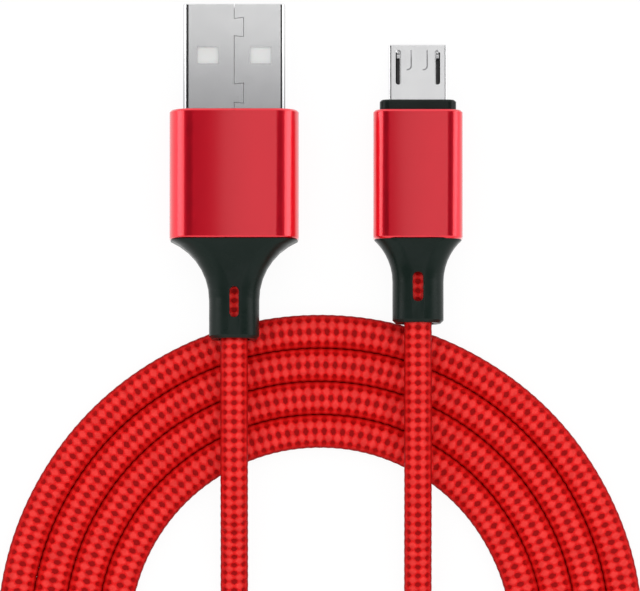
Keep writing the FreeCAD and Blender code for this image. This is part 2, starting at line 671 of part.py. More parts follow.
def make_phone_insulator():
    """Block with a channelled contact plate in front and a pocket for each latch."""
    body = new_body("phone_plug_insulator", "phone")
    top = tip("phone")
    block_front = f"({top} - sizes.phoneMouthDepth)"
    sketch = cross_sketch(body, "PhoneBlockSection", block_front)
    polygon(sketch, phone_profile("(sizes.phoneShellWall + sizes.fit)"))
    pad(body, sketch, "PhoneBlock", f"{block_front} - {shell_rear('phone')}")
    middle = f"({PHONE_FLOOR} + sizes.fit + sizes.phonePlateThickness / 2)"
    front = f"({top} - sizes.phonePlateSetback)"
    sketch = cross_sketch(body, "PlateSection", front, z=middle)
    rectangle(sketch, "sizes.phonePlateWidth", "sizes.phonePlateThickness")
    pad(body, sketch, "ContactPlate", f"{front} - {block_front}")
    start = f"({top} - sizes.phoneContactSetback + 2 * sizes.fit)"
    low = f"({PHONE_FLOOR} + sizes.fit + sizes.phoneChannelFloor)"
    high = f"({PHONE_FLOOR} + sizes.fit + sizes.phonePlateThickness)"
    for index, name in enumerate(PHONE_CONTACTS):
        x = phone_contact_place(index)
        sketch = cross_sketch(body, f"phone{name}Groove", start, f"({low} + {high}) / 2", x)
        wide = "sizes.phoneContactWidth + 2 * sizes.fit"
        rectangle(sketch, wide, f"{high} - {low} + 2 * sizes.fit")
        pocket(body, sketch, f"phone{name}Channel", f"{start} - {shell_rear('phone')}", True)
    tail = "(sizes.latchPivotSetback + sizes.latchTail + sizes.latchClearance)"
    depth = f"{tail} - sizes.phoneMouthDepth"
    arm_middle = f"({LATCH_TOP} - sizes.latchArmHeight / 2)"
    for name, sign in (("Left", "-"), ("Right", "")):
        x = f"{sign}sizes.latchOffset"
        sketch = cross_sketch(body, f"{name}LatchHole", block_front, arm_middle, x)
        room = "2 * sizes.latchClearance"
        rectangle(sketch, f"sizes.latchThickness + {room}", f"sizes.latchArmHeight + {room}")
        pocket(body, sketch, f"{name}LatchPocket", depth, True)


def make_phone_contacts():
    """Springy strips with a hump near the mouth and a solder tail behind."""
    top = tip("phone")
    low = f"({PHONE_FLOOR} + sizes.phoneContactLift)"
    thick, hump = "sizes.phoneContactThickness", "sizes.phoneContactHump"
    tail = f"({shell_rear('phone')} - sizes.phoneTail)"
    foot = f"({top} - sizes.phoneHumpStart)"
    crest = f"({foot} + sizes.phoneHumpRamp)"
    brow = f"({crest} + sizes.phoneHumpTop)"
    end = f"({top} - sizes.phoneContactSetback)"
    profile = [
        (tail, low), (foot, low), (crest, f"{low} + {hump}"), (brow, f"{low} + {hump}"),
        (end, low), (end, f"{low} + {thick}"), (brow, f"{low} + {hump} + {thick}"),
        (crest, f"{low} + {hump} + {thick}"), (foot, f"{low} + {thick}"), (tail, f"{low} + {thick}"),
    ]
    for index, name in enumerate(PHONE_CONTACTS):
        body = new_body(f"phone_plug_contact_{name}", "phone")
        sketch = side_sketch(body, f"phone{name}Profile", phone_contact_place(index))
        polygon(sketch, profile)
        pad(body, sketch, f"phone{name}Strip", "sizes.phoneContactWidth", midplane=True)


def make_latches():
    """Spring arms whose hooks rise through the shell's slots."""
    top = tip("phone")
    high, low = LATCH_TOP, f"({LATCH_TOP} - sizes.latchArmHeight)"
    hook = "(sizes.phoneShellHeight / 2 + sizes.latchHookRise)"
    middle = f"({top} - sizes.latchHookSetback)"
    half = "sizes.latchHookTop / 2"
    tail = f"({top} - sizes.latchPivotSetback - sizes.latchTail)"
    slope = f"({hook} - {high})"
    profile = [
        (tail, low), (f"{middle} + {half} + {slope} / 2", low),
        (f"{middle} + {half} + {slope} / 2", f"{low} + sizes.latchArmHeight / 2"),
        (f"{middle} + {half}", hook), (f"{middle} - {half}", hook),
        (f"{middle} - {half} - {slope} / 4", high), (tail, high),
    ]
    for side, sign in (("left", "-"), ("right", "")):
        body = new_body(f"phone_plug_latch_{side}", "phone")
        sketch = side_sketch(body, f"{side}LatchProfile", f"{sign}sizes.latchOffset")
        polygon(sketch, profile)
        pad(body, sketch, f"{side}LatchPlate", "sizes.latchThickness", midplane=True)


# Cords, wires and the coil

def add_shape(label, shape, placement=None):
    feature = doc.addObject("Part::Feature", label)
    feature.Label = label
    feature.Shape = shape
    if placement is not None:
        feature.Placement = placement
    PARTS.append(feature)
    return feature


def rounded_path(points):
    """Straight runs joined by tangent arcs, with each arc's radius."""
    points = [FreeCAD.Vector(*p) for p in points]
    edges, radii, here = [], [], points[0]
    for before, corner, after in zip(points, points[1:], points[2:]):
        back, ahead = before - corner, after - corner
        reach = 0.45 * min(back.Length, ahead.Length)
        turn = math.pi - back.getAngle(ahead)
        radius = reach / math.tan(turn / 2)
        radii.append(radius)
        back.normalize()
        ahead.normalize()
        start, end = corner + back * reach, corner + ahead * reach
        inward = back + ahead
        inward.normalize()
        middle = corner + inward * (radius / math.cos(turn / 2) - radius)
        edges.append(Part.LineSegment(here, start).toShape())
        edges.append(Part.Arc(start, middle, end).toShape())
        here = end
    edges.append(Part.LineSegment(here, points[-1]).toShape())
    return Part.Wire(edges), radii


def tube(path, diameter, sides):
    """Closed tube along a wire; its section has many flats, one of them underneath."""
    start = path.OrderedEdges[0]
    centre = start.valueAt(start.FirstParameter)
    axis = start.tangentAt(start.FirstParameter)
    across = axis.cross(FreeCAD.Vector(0, 0, 1)).normalize()
    upward = across.cross(axis)
    corners = []
    for side in range(sides + 1):
        angle = math.tau * (side + 0.5) / sides
        reach = upward * math.cos(angle) + across * math.sin(angle)
        corners.append(centre + reach * (diameter / 2))
    return path.makePipeShell([Part.makePolygon(corners)], True, False)


def report_tube(name, shape, path, diameter, sides):
    area = sides / 2 * (diameter / 2) ** 2 * math.sin(math.tau / sides)
    expected = area * path.Length
    print(f"{name}: length {path.Length:.1f}, volume over section x length "
          f"{shape.Volume / expected:.5f}")


def make_lead(label, points):
    path, radii = rounded_path(points)
    diameter, sides = size("cordDiameter"), int(size("cordSides"))
    shape = tube(path, diameter, sides)
    add_shape(label, shape)
    print(label, "arc radii", " ".join(f"{r:.1f}" for r in radii))
    report_tube(label, shape, path, diameter, sides)


def plug_exit(plug):
    """Two points on the plug's axis: the cord's end inside, and just past the boot."""
    end = -size(f"{plug}Length") / 2
    inside = in_plug(plug, 0, evaluate(cord_entry(plug)), 0)
    outside = in_plug(plug, 0, end - 1.0, 0)
    return [tuple(inside), tuple(outside)]


def coil_arcs():
    """Centre, radius, first angle and sweep of each arc, from the inner end out."""
    side, back = size("coilCentreSide"), size("coilCentreBack")
    inner, pitch = size("coilInnerRadius"), size("coilPitch")
    lead = plug_place("charger").Base.x
    first = size("coilEntryRadius")
    second = side + inner - lead - first
    loop_back = back + first - second
    arcs = [
        (lead + first, loop_back, first, math.pi, math.pi / 2),
        (lead + first, back, second, 1.5 * math.pi, math.pi / 2),
    ]
    for half in range(int(size("coilHalfTurns"))):
        centre = side + pitch / 2 * (half % 2)
        begin = math.pi * (half % 2)
        arcs.append((centre, back, inner + half * pitch / 2, begin, math.pi))
    return arcs


def on_arc(arc, share):
    x, y, radius, begin, sweep = arc
    angle = begin + sweep * share
    height = size("cordDiameter") / 2
    return FreeCAD.Vector(x + radius * math.cos(angle), y + radius * math.sin(angle), height)


def coil_ends():
    """Where the coil's straight ends begin and stop; both point towards -Y."""
    arcs, stub = coil_arcs(), FreeCAD.Vector(0, size("cordDiameter"), 0)
    return on_arc(arcs[0], 0) + stub, on_arc(arcs[-1], 1) - stub


def make_coil():
    arcs = coil_arcs()
    start, finish = coil_ends()
    edges = [Part.LineSegment(start, on_arc(arcs[0], 0)).toShape()]
    for arc in arcs:
        edges.append(Part.Arc(on_arc(arc, 0), on_arc(arc, 0.5), on_arc(arc, 1)).toShape())
    edges.append(Part.LineSegment(on_arc(arcs[-1], 1), finish).toShape())
    path = Part.Wire(edges)
    diameter, sides = size("cordDiameter"), int(size("cordSides"))
    shape = tube(path, diameter, sides)
    add_shape("cable_coil", shape)
    report_tube("cable_coil", shape, path, diameter, sides)
    print(f"cable_coil: least gap to itself {least_gap(path):.2f}")


def least_gap(path):
    """Distance between the surfaces of turns, on points about a millimetre apart."""
    points = path.discretize(Number=int(path.Length))
    apart = 20
    diameter = size("cordDiameter")
    least = path.Length
    for i, a in enumerate(points):
        for b in points[i + apart:]:
            if abs(a.x - b.x) < least and abs(a.y - b.y) < least:
                least = min(least, a.distanceToPoint(b))
    return least - diameter


# Points of the two leads, chosen by hand. Each lead starts on its plug's axis, goes
# over the coil and comes down inside it, and meets one end of the coil.
CHARGER_ROUTE = [
    (-9.61, -28.5, 6.9),
    (-9.61, -36.6, 6.2),
    (-9.61, -43.4, 2.9),
    (-9.61, -48.6, 1.7),
]
PHONE_ROUTE = [
    (11.96, -27.4, 5.9),
    (11.96, -37.0, 5.7),
    (11.96, -45.4, 3.0),
    (11.96, -53.6, 2.1),
    (11.96, -61.8, 4.2),
    (11.96, -70.5, 6.0),
    (8.3, -80.3, 6.1),
    (0.9, -87.7, 6.2),
    (-8.9, -90.9, 5.9),
    (-19.2, -89.4, 4.5),
    (-27.9, -83.6, 2.8),
    (-33.4, -74.8, 1.9),
    (-35.54, -64.6, 1.7),
]

WIRES = (
    ("power", "powerWire", -1, 1),
    ("data_minus", "dataWire", -1, -1),
    ("data_plus", "dataWire", 1, -1),
    ("ground", "powerWire", 1, 1),
)


def make_wires(plug, places, tail_top):
    """Insulated wires from the cord's end to the tails of the contacts."""
    entry = evaluate(cord_entry(plug))
    tail_end = evaluate(shell_rear(plug)) - size(f"{plug}Tail")
    lap, spread = size("wireLap"), size("wireSpread")
    for (name, gauge, side, level), x in zip(WIRES, places):
        diameter = size(gauge)
        rest = tail_top + diameter / 2 + size("fit")
        points = [
            (x, tail_end + lap, rest),
            (x, tail_end - diameter, rest),
            (side * spread, entry + 1.2, level * spread),
            (side * spread, entry, level * spread),
        ]
        path, radii = rounded_path(points)
        shape = tube(path, diameter, int(size("wireSides")))
        add_shape(f"{plug}_plug_wire_{name}", shape, plug_place(plug))


def make_charger_plug():
    make_charger_shell()
    make_charger_insulator()
    make_charger_contacts()
    make_inner_mould("charger", charger_shell_hole)
    outer, inner = size("chargerOuterContact"), size("chargerInnerContact")
    top = evaluate(CHARGER_STRIP) + size("chargerContactThickness") / 2
    make_wires("charger", (-outer, -inner, inner, outer), top)
    make_housing("charger")
    make_boot("charger")


def make_phone_plug():
    make_phone_shell()
    make_phone_insulator()
    make_phone_contacts()
    make_latches()
    make_inner_mould("phone", phone_shell_hole)
    pitch = size("phoneContactPitch")
    top = evaluate(PHONE_FLOOR) + size("phoneContactLift") + size("phoneContactThickness")
    make_wires("phone", (-2 * pitch, -pitch, 0, 2 * pitch), top)
    make_housing("phone")
    make_boot("phone")


def make_cord():
    inner_end, outer_end = coil_ends()
    make_lead("charger_lead", plug_exit("charger") + CHARGER_ROUTE + [tuple(inner_end)])
    make_coil()
    make_lead("phone_lead", plug_exit("phone") + PHONE_ROUTE + [tuple(outer_end)])


def check_and_write():
    doc.recompute()
    for item in doc.Objects:
        if "Invalid" in item.State or "Error" in item.State:
            raise RuntimeError(f"{item.Label} is {item.State}")
    for part in PARTS:
        shape = part.Shape
        if shape.isNull() or not shape.isValid() or not shape.Solids:
            raise RuntimeError(f"{part.Label} has no valid solid")
    for part in PARTS:
        part.Shape.exportStep(os.path.join("parts", f"{part.Label}.step"))
    print(len(PARTS), "pieces written")


make_charger_plug()
make_phone_plug()
make_cord()
check_and_write()
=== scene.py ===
import math

import bpy
import numpy as np
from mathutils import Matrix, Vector


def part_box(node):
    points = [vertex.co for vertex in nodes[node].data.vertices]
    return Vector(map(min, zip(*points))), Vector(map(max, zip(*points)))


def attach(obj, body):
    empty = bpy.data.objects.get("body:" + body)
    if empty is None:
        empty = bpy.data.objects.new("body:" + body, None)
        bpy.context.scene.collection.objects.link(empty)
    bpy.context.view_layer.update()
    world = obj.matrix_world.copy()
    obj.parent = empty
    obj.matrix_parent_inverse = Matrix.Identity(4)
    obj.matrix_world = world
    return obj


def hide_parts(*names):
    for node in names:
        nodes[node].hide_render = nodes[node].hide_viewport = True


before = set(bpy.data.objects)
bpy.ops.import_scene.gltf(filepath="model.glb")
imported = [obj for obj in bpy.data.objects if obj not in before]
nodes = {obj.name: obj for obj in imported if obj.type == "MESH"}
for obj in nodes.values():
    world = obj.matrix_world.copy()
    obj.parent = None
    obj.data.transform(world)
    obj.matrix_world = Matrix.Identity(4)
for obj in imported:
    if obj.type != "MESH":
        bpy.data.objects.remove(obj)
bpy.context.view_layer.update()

scene = bpy.context.scene
scene.view_settings.view_transform = "Standard"
mm = 0.001


# small helpers for wiring shaders

def newMaterial(name):
    material = bpy.data.materials.new(name)
    material.use_nodes = True
    tree = material.node_tree
    return material, tree, tree.nodes["Principled BSDF"]


def addNode(tree, kind, **values):
    node = tree.nodes.new(kind)
    for key, value in values.items():
        setattr(node, key, value)
    return node


# a number, a colour or another node's output, into a socket
def feed(tree, source, socket):
    if isinstance(source, (int, float)):
        socket.default_value = source
    elif isinstance(source, tuple):
        socket.default_value = (*source, 1) if socket.type == "RGBA" else source
    else:
        tree.links.new(source, socket)


def fedBy(socket):
    return socket.links[0].from_socket


def maths(tree, operation, *values):
    node = addNode(tree, "ShaderNodeMath", operation=operation)
    for value, socket in zip(values, node.inputs):
        feed(tree, value, socket)
    return node.outputs[0]


def ramped(tree, source, low, high, bottom=0.0, top=1.0):
    node = addNode(tree, "ShaderNodeMapRange", interpolation_type="SMOOTHSTEP")
    feed(tree, source, node.inputs["Value"])
    ends = {"From Min": low, "From Max": high, "To Min": bottom, "To Max": top}
    for label, value in ends.items():
        feed(tree, value, node.inputs[label])
    return node.outputs["Result"]


def mixed(tree, amount, first, second):
    node = addNode(tree, "ShaderNodeMix", data_type="RGBA")
    for value, place in ((amount, 0), (first, 6), (second, 7)):  # the sockets that mix colours
        feed(tree, value, node.inputs[place])
    return node.outputs[2]


def bumped(tree, height, depth, normal=None):
    node = addNode(tree, "ShaderNodeBump")
    feed(tree, height, node.inputs["Height"])
    node.inputs["Distance"].default_value = depth
    if normal is not None:
        feed(tree, normal, node.inputs["Normal"])
    return node.outputs["Normal"]


def noise(tree, vector, scale, detail=2.0):
    node = addNode(tree, "ShaderNodeTexNoise")
    feed(tree, vector, node.inputs["Vector"])
    feed(tree, scale, node.inputs["Scale"])
    node.inputs["Detail"].default_value = detail
    return node.outputs["Fac"]


# X, Y and Z on the piece itself
def ownPlace(tree):
    spot = addNode(tree, "ShaderNodeSeparateXYZ")
    feed(tree, addNode(tree, "ShaderNodeTexCoord").outputs["Object"], spot.inputs[0])
    return spot.outputs


def newGroup(name, ins, outs):
    group = bpy.data.node_groups.new(name, "ShaderNodeTree")
    kinds = {"value": "NodeSocketFloat", "colour": "NodeSocketColor"}
    for direction, sockets in (("INPUT", ins), ("OUTPUT", outs)):
        for label, kind in sockets:
            group.interface.new_socket(label, in_out=direction, socket_type=kinds[kind])
    start, end = group.nodes.new("NodeGroupInput"), group.nodes.new("NodeGroupOutput")
    return group, start.outputs, end.inputs


# fine speckle, in blobs of a given size in metres, and large patches of it
def makeSpeckle():
    group, ins, outs = newGroup(
        "fineSpeckle",
        [("Size", "value")],
        [("Height", "value"), ("Patches", "value")],
    )
    patchScale = 0.06
    spot = addNode(group, "ShaderNodeTexCoord").outputs["Object"]
    scale = maths(group, "DIVIDE", 1.0, ins["Size"])
    feed(group, noise(group, spot, scale, 3.0), outs["Height"])
    cloud = noise(group, spot, maths(group, "MULTIPLY", scale, patchScale))
    feed(group, ramped(group, cloud, 0.35, 0.65), outs["Patches"])
    return group


# thin lines left by drawing or folding, long in Y, which is the way the plugs point
def makeDrawnLines():
    group, ins, outs = newGroup(
        "drawnLines",
        [("Pitch", "value"), ("Stretch", "value")],
        [("Height", "value")],
    )
    spot = addNode(group, "ShaderNodeTexCoord").outputs["Object"]
    scale = maths(group, "DIVIDE", 1.0, ins["Pitch"])
    slow = maths(group, "DIVIDE", scale, ins["Stretch"])
    size = addNode(group, "ShaderNodeCombineXYZ")
    for value, socket in zip((scale, slow, scale), size.inputs):
        feed(group, value, socket)
    wide = addNode(group, "ShaderNodeVectorMath", operation="MULTIPLY")
    feed(group, spot, wide.inputs[0])
    feed(group, size.outputs[0], wide.inputs[1])
    feed(group, noise(group, wide.outputs[0], 1.0, 3.0), outs["Height"])
    return group


# a colour that drifts a little, as on a handled thing
def makeHandledTone():
    group, ins, outs = newGroup(
        "handledTone",
        [("Main", "colour"), ("Rubbed", "colour"), ("Patch", "value"), ("Amount", "value")],
        [("Colour", "colour"), ("Mask", "value")],
    )
    spot = addNode(group, "ShaderNodeTexCoord").outputs["Object"]
    cloud = noise(group, spot, maths(group, "DIVIDE", 1.0, ins["Patch"]), 4.0)
    mask = maths(group, "MULTIPLY", ramped(group, cloud, 0.4, 0.68), ins["Amount"])
    feed(group, mixed(group, mask, ins["Main"], ins["Rubbed"]), outs["Colour"])
    feed(group, mask, outs["Mask"])
    return group


speckle = makeSpeckle()
drawnLines = makeDrawnLines()
handledTone = makeHandledTone()


def useGroup(tree, group, **values):
    node = addNode(tree, "ShaderNodeGroup", node_tree=group)
    for label, value in values.items():
        feed(tree, value, node.inputs[label])
    return node.outputs


# finishes; sizes and depths in metres

def finish(name, look):
    material, tree, shader = newMaterial(name)
    tone = useGroup(tree, handledTone, Main=look["main"], Rubbed=look["rubbed"],
                    Patch=look["patch"], Amount=look["amount"])
    grain = useGroup(tree, speckle, Size=look["grain"])
    feed(tree, tone["Colour"], shader.inputs["Base Color"])
    rough = look["roughness"]
    change = look.get("uneven", 0.12)
    uneven = maths(tree, "ADD", grain["Height"], grain["Patches"])
    feed(tree, ramped(tree, uneven, 0.4, 1.6, rough * (1 - change), rough * (1 + change)),
         shader.inputs["Roughness"])
    normal = bumped(tree, grain["Height"], look["grainDepth"])
    if look.get("lines"):
        lines = useGroup(tree, drawnLines, Pitch=look["lines"], Stretch=look["stretch"])
        normal = bumped(tree, lines["Height"], look["lineDepth"], normal)
    feed(tree, normal, shader.inputs["Normal"])
    for label, value in look.get("shader", {}).items():
        shader.inputs[label].default_value = value
    return material, tree, shader


platedSteel = {
    "main": (0.80, 0.80, 0.805), "rubbed": (0.77, 0.77, 0.78), "patch": 0.004, "amount": 0.4,
    "grain": 0.00012, "grainDepth": 0.0000003,
    "lines": 0.00009, "stretch": 30.0, "lineDepth": 0.0000004,
    "roughness": 0.2, "uneven": 0.03, "shader": {"Metallic": 1.0},
}
# painted shade: the latch steel is made dark all over, standing for the shade the arms lie in under
# the shell
shadedSpringSteel = {
    "main": (0.045, 0.045, 0.047), "rubbed": (0.065, 0.063, 0.06), "patch": 0.0012, "amount": 0.6,
    "grain": 0.00010, "grainDepth": 0.000001,
    "lines": 0.00006, "stretch": 20.0, "lineDepth": 0.0000015,
    "roughness": 0.27, "shader": {"Metallic": 1.0},
}
giltContact = {
    "main": (0.86, 0.62, 0.25), "rubbed": (0.78, 0.56, 0.26), "patch": 0.001, "amount": 0.7,
    "grain": 0.00010, "grainDepth": 0.000001,
    "lines": 0.00007, "stretch": 25.0, "lineDepth": 0.0000015,
    "roughness": 0.22, "shader": {"Metallic": 1.0},
}
whitePlastic = {
    "main": (0.76, 0.76, 0.755), "rubbed": (0.72, 0.72, 0.71), "patch": 0.003, "amount": 0.5,
    "grain": 0.00014, "grainDepth": 0.000004,
    "roughness": 0.36, "shader": {"Subsurface Weight": 0.08, "Subsurface Scale": 0.0006},
}
blackPlastic = {
    "main": (0.007, 0.011, 0.009), "rubbed": (0.011, 0.015, 0.013), "patch": 0.003, "amount": 0.6,
    "grain": 0.00012, "grainDepth": 0.000003,
    "roughness": 0.3, "shader": {"Specular IOR Level": 0.18},
}
charcoalRubber = {
    "main": (0.008, 0.016, 0.0125), "rubbed": (0.012, 0.020, 0.017), "patch": 0.0035, "amount": 0.7,
    "grain": 0.00011, "grainDepth": 0.000004,
    "roughness": 0.3, "shader": {"Specular IOR Level": 0.14},
}
insulationColours = {
    "red_insulation": (0.62, 0.02, 0.02), "white_insulation": (0.76, 0.75, 0.70),
    "green_insulation": (0.03, 0.34, 0.08), "black_insulation": (0.014, 0.014, 0.015),
}


def insulation(name, colour):
    soft = tuple(0.8 * part + 0.02 for part in colour)
    look = {
        "main": colour, "rubbed": soft, "patch": 0.002, "amount": 0.6,
        "grain": 0.00016, "grainDepth": 0.000004,
        "roughness": 0.4, "shader": {"Coat Weight": 0.15},
    }
    return finish(name, look)[0]


redAluminium = {
    "look": {
        "main": (0.93, 0.013, 0.034), "rubbed": (0.94, 0.016, 0.038), "patch": 0.008, "amount": 0.4,
        "grain": 0.00009, "grainDepth": 0.0000002,
        "lines": 0.00012, "stretch": 40.0, "lineDepth": 0.0000001,
        "roughness": 0.36, "uneven": 0.03,
        "shader": {"Metallic": 1.0, "Coat Weight": 1.0, "Coat Roughness": 0.13},
    },
    "crown": 7.0,  # the wide faces swell by this times the distance from the middle squared
}


# dyed aluminium, whose wide faces are a little crowned
def dyedAluminium(name, middle):
    material, tree, shader = finish(name, redAluminium["look"])
    aside = maths(tree, "SUBTRACT", ownPlace(tree)["X"], middle)
    swell = maths(tree, "MULTIPLY", maths(tree, "MULTIPLY", aside, aside), -redAluminium["crown"])
    crowned = bumped(tree, swell, 1.0, fedBy(shader.inputs["Normal"]))
    feed(tree, crowned, shader.inputs["Normal"])
    feed(tree, crowned, shader.inputs["Coat Normal"])
    return material


# the braided cord

cord = {
    "diameter": 0.0034, "length": 0.9175, "exit": (-0.00961, -0.0196, 0.00638),
    # the way it runs, in mm
    "chargerEnd": [
        (-9.61, -4.98, 4.95), (-9.61, -20.6, 6.48), (-9.61, -28.5, 6.9), (-9.61, -36.6, 6.2),
        (-9.61, -43.4, 2.9), (-9.61, -48.6, 1.7),
    ],
    "entry": [((6.59, -56.67), 16.2, 180), ((6.59, -54.7), 18.17, 270)],  # two quarter turns
    "firstTurn": 24.3, "growth": 1.95, "halfTurns": 7, "middles": [(0.46, -54.7), (2.41, -54.7)],
    "coilHeight": 1.7, "pointAngle": 30,
    "phoneEnd": [
        (-35.54, -64.6, 1.7), (-33.4, -74.8, 1.9), (-27.9, -83.6, 2.8), (-19.2, -89.4, 4.5),
        (-8.9, -90.9, 5.9), (0.9, -87.7, 6.2), (8.3, -80.3, 6.1), (11.96, -70.5, 6.0),
        (11.96, -61.8, 4.2), (11.96, -53.6, 2.1), (11.96, -45.4, 3.0), (11.96, -37.0, 5.7),
        (11.96, -27.4, 5.9), (11.96, -18.74, 5.39), (11.96, -5.39, 4.27),
    ],
    # the weave, in metres; sunk columns of strands dip by this share of the relief
    "stitch": 0.00108, "strands": 8, "sides": 16, "ringsPerStitch": 4,
    "core": 0.00163, "relief": 0.00008, "sunk": -0.4,
    # in the coil it lies this share wider, from and to these places along it
    "spread": 0.22, "spreadFrom": 0.054, "spreadTo": 0.79, "spreadOver": 0.02,
}


def arcPoints(middle, radius, start, sweep):
    step = cord["pointAngle"]
    reach = radius / math.cos(math.radians(step / 2))
    points = []
    for index in range(sweep // step):
        angle = math.radians(start + step * (index + 0.5))
        x = middle[0] + reach * math.cos(angle)
        y = middle[1] + reach * math.sin(angle)
        points.append((x, y, cord["coilHeight"]))
    return points


def cordRoute():
    points = list(cord["chargerEnd"])
    for middle, radius, start in cord["entry"]:
        points += arcPoints(middle, radius, start, 90)
    for half in range(cord["halfTurns"]):
        radius = cord["firstTurn"] + half * cord["growth"]
        points += arcPoints(cord["middles"][half % 2], radius, 180 * (half % 2), 180)
    points += cord["phoneEnd"]
    return [tuple(value * mm for value in point) for point in points]


# evenly spaced points along the smooth line that the route steers, and its length
def cordCentres(points):
    curve = bpy.data.curves.new("cordLine", "CURVE")
    curve.dimensions = "3D"
    curve.resolution_u = 40
    line = curve.splines.new("NURBS")
    line.points.add(len(points) - 1)
    for point, spot in zip(line.points, points):
        point.co = (*spot, 1)
    line.order_u = 3
    line.use_endpoint_u = True
    holder = bpy.data.objects.new("cordLine", curve)
    scene.collection.objects.link(holder)
    bpy.context.view_layer.update()
    mesh = bpy.data.meshes.new_from_object(holder)
    read = np.array([vertex.co[:] for vertex in mesh.vertices])
    bpy.data.objects.remove(holder)
    bpy.data.meshes.remove(mesh)
    steps = np.linalg.norm(np.diff(read, axis=0), axis=1)
    along = np.concatenate([[0], np.cumsum(steps)])
    rings = round(along[-1] / cord["stitch"] * cord["ringsPerStitch"])
    even = np.linspace(0, along[-1], rings + 1)
    centres = np.column_stack([np.interp(even, along, read[:, axis]) for axis in range(3)])
    return centres, along[-1]


# rings of points round the line, then the two ends' middles
def cordSkin(centres, length, stitches):
    sides, strands = cord["sides"], cord["strands"]
    ahead = np.gradient(centres, axis=0)
    ahead /= np.linalg.norm(ahead, axis=1)[:, None]
    aside = np.cross(ahead, [0, 0, 1])
    aside /= np.linalg.norm(aside, axis=1)[:, None]
    over = np.cross(aside, ahead)
    turn = 2 * np.pi * np.arange(sides) / sides
    weaveA = stitches[:, None] + strands * turn[None] / (2 * np.pi)
    weaveB = stitches[:, None] - strands * turn[None] / (2 * np.pi)
    swell = np.abs(np.sin(np.pi * weaveA) * np.sin(np.pi * weaveB))
    raised = np.arange(sides) // (sides // strands // 2) % 2  # every other column stands proud
    swell = swell * np.where(raised, 1.0, cord["sunk"])[None]
    reach = cord["core"] + cord["relief"] * swell
    far = np.linspace(0, length, len(centres))
    flat = np.minimum(far - cord["spreadFrom"], cord["spreadTo"] - far) / cord["spreadOver"]
    flat = np.clip(flat, 0, 1)
    wider = 1 + cord["spread"] * flat * flat * (3 - 2 * flat)
    aside = aside * wider[:, None]
    upward = over[:, None] * np.cos(turn)[None, :, None]
    sideways = aside[:, None] * np.sin(turn)[None, :, None]
    rows = (centres[:, None] + (upward + sideways) * reach[:, :, None]).reshape(-1, 3)
    return np.vstack([rows, centres[:1], centres[-1:]])


def cordFaces(steps):
    sides = cord["sides"]
    index = np.arange(steps)[:, None] * sides
    here = np.arange(sides)[None]
    there = (here + 1) % sides
    quads = [index + here, index + there, index + sides + there, index + sides + here]
    faces = np.stack(quads, axis=-1).reshape(-1, 4).tolist()
    end = steps * sides
    first, last = end + sides, end + sides + 1
    faces += [(first, (side + 1) % sides, side) for side in range(sides)]
    faces += [(last, end + side, end + (side + 1) % sides) for side in range(sides)]
    return faces


# how far round and how many stitches along, at each corner of each face
def cordPlaces(stitches):
    sides = cord["sides"]
    left, right = np.arange(sides) / sides, (np.arange(sides) + 1) / sides
    uv = np.zeros((len(stitches) - 1, sides, 4, 2))
    uv[:, :, 0, 0] = uv[:, :, 3, 0] = left
    uv[:, :, 1, 0] = uv[:, :, 2, 0] = right
    uv[:, :, 0, 1] = uv[:, :, 1, 1] = stitches[:-1, None]
    uv[:, :, 2, 1] = uv[:, :, 3, 1] = stitches[1:, None]
    endCaps = np.zeros((2, sides, 3, 2))
    return np.concatenate([uv.ravel(), endCaps.ravel()])


def makeCord():
    centres, length = cordCentres(cordRoute())
    print("cord length", round(length, 4), "rings", len(centres))
    stitches = np.arange(len(centres)) / cord["ringsPerStitch"]
    rows = cordSkin(centres, length, stitches).tolist()
    mesh = bpy.data.meshes.new("braidedCord")
    mesh.from_pydata(rows, [], cordFaces(len(centres) - 1))
    layer = mesh.uv_layers.new(name="braidPlace")
    layer.data.foreach_set("uv", cordPlaces(stitches))
    mesh.shade_smooth()
    piece = bpy.data.objects.new("braidedCord", mesh)
    scene.collection.objects.link(piece)
    mesh.materials.append(braid())
    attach(piece, "cable")
    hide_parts("charger_lead", "cable_coil", "phone_lead")


braidLook = {
    # the first three colours are a painted highlight on the strand crests, the plain red between, and
    # painted shade in the holes; the fourth is painted shade on the cord's flanks
    "bright": (1.0, 0.050, 0.044), "between": (0.86, 0.010, 0.010), "gap": (0.34, 0.0, 0.0),
    "flankShade": (0.74, 0.003, 0.003), "strandDepth": 0.00009, "threads": 4.0, "threadDepth": 0.000008,
    "betweenFrom": (-0.5, 0.12), "gapFrom": (0.15, 0.6),  # on the scale from crest to hole
    "flankShadeFrom": (0.6, 0.97), "flankShadeShare": 0.85, "rimShadeFrom": (0.8, 1.0), "rimShadeShare": 0.9,
    "grain": 0.00016, "grainShare": 0.9, "patch": 0.0009, "amount": 0.75, "rubbedShare": 0.32,
    "roughness": (0.5, 0.66), "gloss": 0.12,
}


